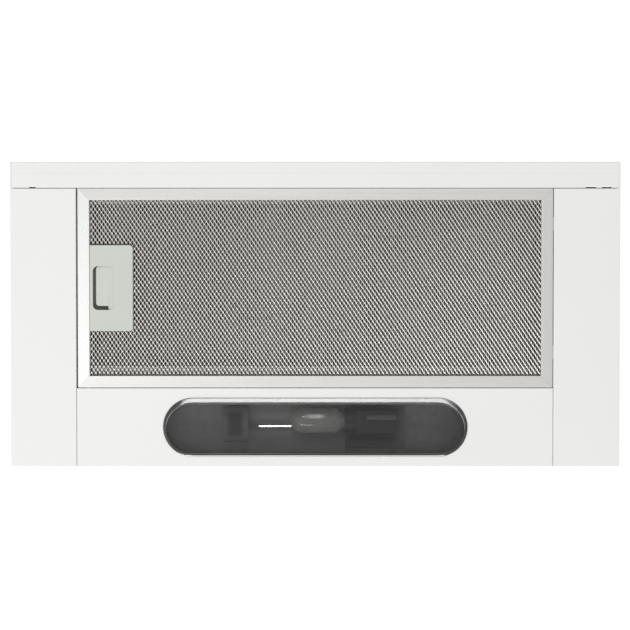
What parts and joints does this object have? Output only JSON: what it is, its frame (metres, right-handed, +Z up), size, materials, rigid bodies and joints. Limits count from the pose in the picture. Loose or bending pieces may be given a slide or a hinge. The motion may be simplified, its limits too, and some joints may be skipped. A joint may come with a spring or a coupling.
{
  "type": "telescopic range hood",
  "caption": "Slim under-cabinet range hood with a pull-out front tray, drop-down mesh grease filter, lamp, top motor box and round duct collar.",
  "frame": {"origin": "centre of the four cabinet screw holes, on the top face of the deck", "axes": "+X across the hood to the right seen from the room, +Y to the wall, +Z up"},
  "size_m": [0.6, 0.3, 0.2249],
  "materials": {
    "white_paint": "satin white enamel",
    "white_plastic": "white moulding",
    "zinc_steel": "zinc-coated sheet",
    "rail_steel": "bright zinc",
    "spring_steel": "hardened strip and wire",
    "frame_aluminium": "satin",
    "mesh_aluminium": "expanded sheet",
    "grey_plastic": "fine grain",
    "black_plastic": "moulded",
    "smoked_lens": "smoked, clear gloss",
    "bulb_glass": "frosted",
    "motor_iron": "laminations and end caps"
  },
  "bodies": {
    "body": {"underside_panel_left": "white_paint", "underside_panel_right": "white_paint", "side_wall_left": "white_paint", "side_wall_right": "white_paint", "body_back": "white_paint", "deck": "white_paint", "lamp_panel": "white_paint", "front_crossbar": "zinc_steel", "body_screws": "zinc_steel", "lamp_housing": "zinc_steel", "motor_box_front": "zinc_steel", "motor_box_back": "zinc_steel", "motor_box_left": "zinc_steel", "motor_box_right": "zinc_steel", "motor_box_top": "zinc_steel", "motor_bracket": "zinc_steel", "rail_outer_left": "rail_steel", "rail_outer_right": "rail_steel", "catch_spring": "spring_steel", "lamp_reflector": "frame_aluminium", "capacitor": "frame_aluminium", "lampholder": "black_plastic", "control_bezel": "black_plastic", "switch_block": "black_plastic", "scroll_left": "black_plastic", "scroll_right": "black_plastic", "outlet_collar": "black_plastic", "cable_gland": "black_plastic", "lamp_lens": "smoked_lens", "lamp_bulb": "bulb_glass", "motor_body": "motor_iron"},
    "carriage": {"fascia_panel": "white_paint", "fascia_carrier": "white_paint", "fascia_ends": "white_plastic", "tray_floor": "zinc_steel", "tray_cover": "zinc_steel", "tray_arm_left": "zinc_steel", "tray_arm_right": "zinc_steel", "tray_filter_frame": "frame_aluminium", "tray_filter_mesh": "mesh_aluminium", "rail_inner_left": "rail_steel", "rail_inner_right": "rail_steel"},
    "cage_left": {"rail_cage_left": "rail_steel"},
    "cage_right": {"rail_cage_right": "rail_steel"},
    "filter": {"filter_frame_front": "frame_aluminium", "filter_frame_rear": "frame_aluminium", "filter_frame_left": "frame_aluminium", "filter_frame_right": "frame_aluminium", "filter_mesh_lower": "mesh_aluminium", "filter_mesh_pack": "mesh_aluminium", "filter_mesh_upper": "mesh_aluminium", "filter_lugs": "zinc_steel", "latch_guide": "zinc_steel", "latch_spring": "spring_steel"},
    "latch": {"latch_plate": "grey_plastic"},
    "speed_slider": {"speed_knob": "grey_plastic"},
    "light_slider": {"light_knob": "grey_plastic"},
    "fan": {"impeller": "black_plastic"},
    "flap_front": {"damper_flap_front": "black_plastic"},
    "flap_back": {"damper_flap_back": "black_plastic"}
  },
  "joints": [
    {"name": "tray_slide", "type": "slide", "parent": "body", "child": "carriage", "axis": [0, -1, 0], "range_m": [0, 0.18]},
    {"name": "cage_slide_left", "type": "slide", "parent": "body", "child": "cage_left", "axis": [0, -1, 0], "range_m": [0, 0.09]},
    {"name": "cage_slide_right", "type": "slide", "parent": "body", "child": "cage_right", "axis": [0, -1, 0], "range_m": [0, 0.09]},
    {"name": "filter_swing", "type": "hinge", "parent": "body", "child": "filter", "pos_m": [0.2347, 0, -0.05065], "axis": [0, -1, 0], "range_deg": [0, 45], "deforming": ["catch_spring"]},
    {"name": "latch_pull", "type": "slide", "parent": "filter", "child": "latch", "axis": [1, 0, 0], "range_m": [0, 0.006], "stiffness_N_per_m": 300, "deforming": ["latch_spring"]},
    {"name": "speed_slide", "type": "slide", "parent": "body", "child": "speed_slider", "axis": [1, 0, 0], "range_m": [0, 0.018]},
    {"name": "light_slide", "type": "slide", "parent": "body", "child": "light_slider", "axis": [1, 0, 0], "range_m": [0, 0.006]},
    {"name": "fan_spin", "type": "hinge", "parent": "body", "child": "fan", "pos_m": [0, 0.008, 0.066], "axis": [1, 0, 0], "continuous": true},
    {"name": "flap_front_swing", "type": "hinge", "parent": "body", "child": "flap_front", "pos_m": [0, 0.02, 0.148], "axis": [-1, 0, 0], "range_deg": [0, 75]},
    {"name": "flap_back_swing", "type": "hinge", "parent": "body", "child": "flap_back", "pos_m": [0, 0.02, 0.148], "axis": [1, 0, 0], "range_deg": [0, 75]}
  ],
  "couplings": [
    {"joint": "cage_slide_left", "follows": "tray_slide", "ratio": 0.5},
    {"joint": "cage_slide_right", "follows": "tray_slide", "ratio": 0.5}
  ]
}
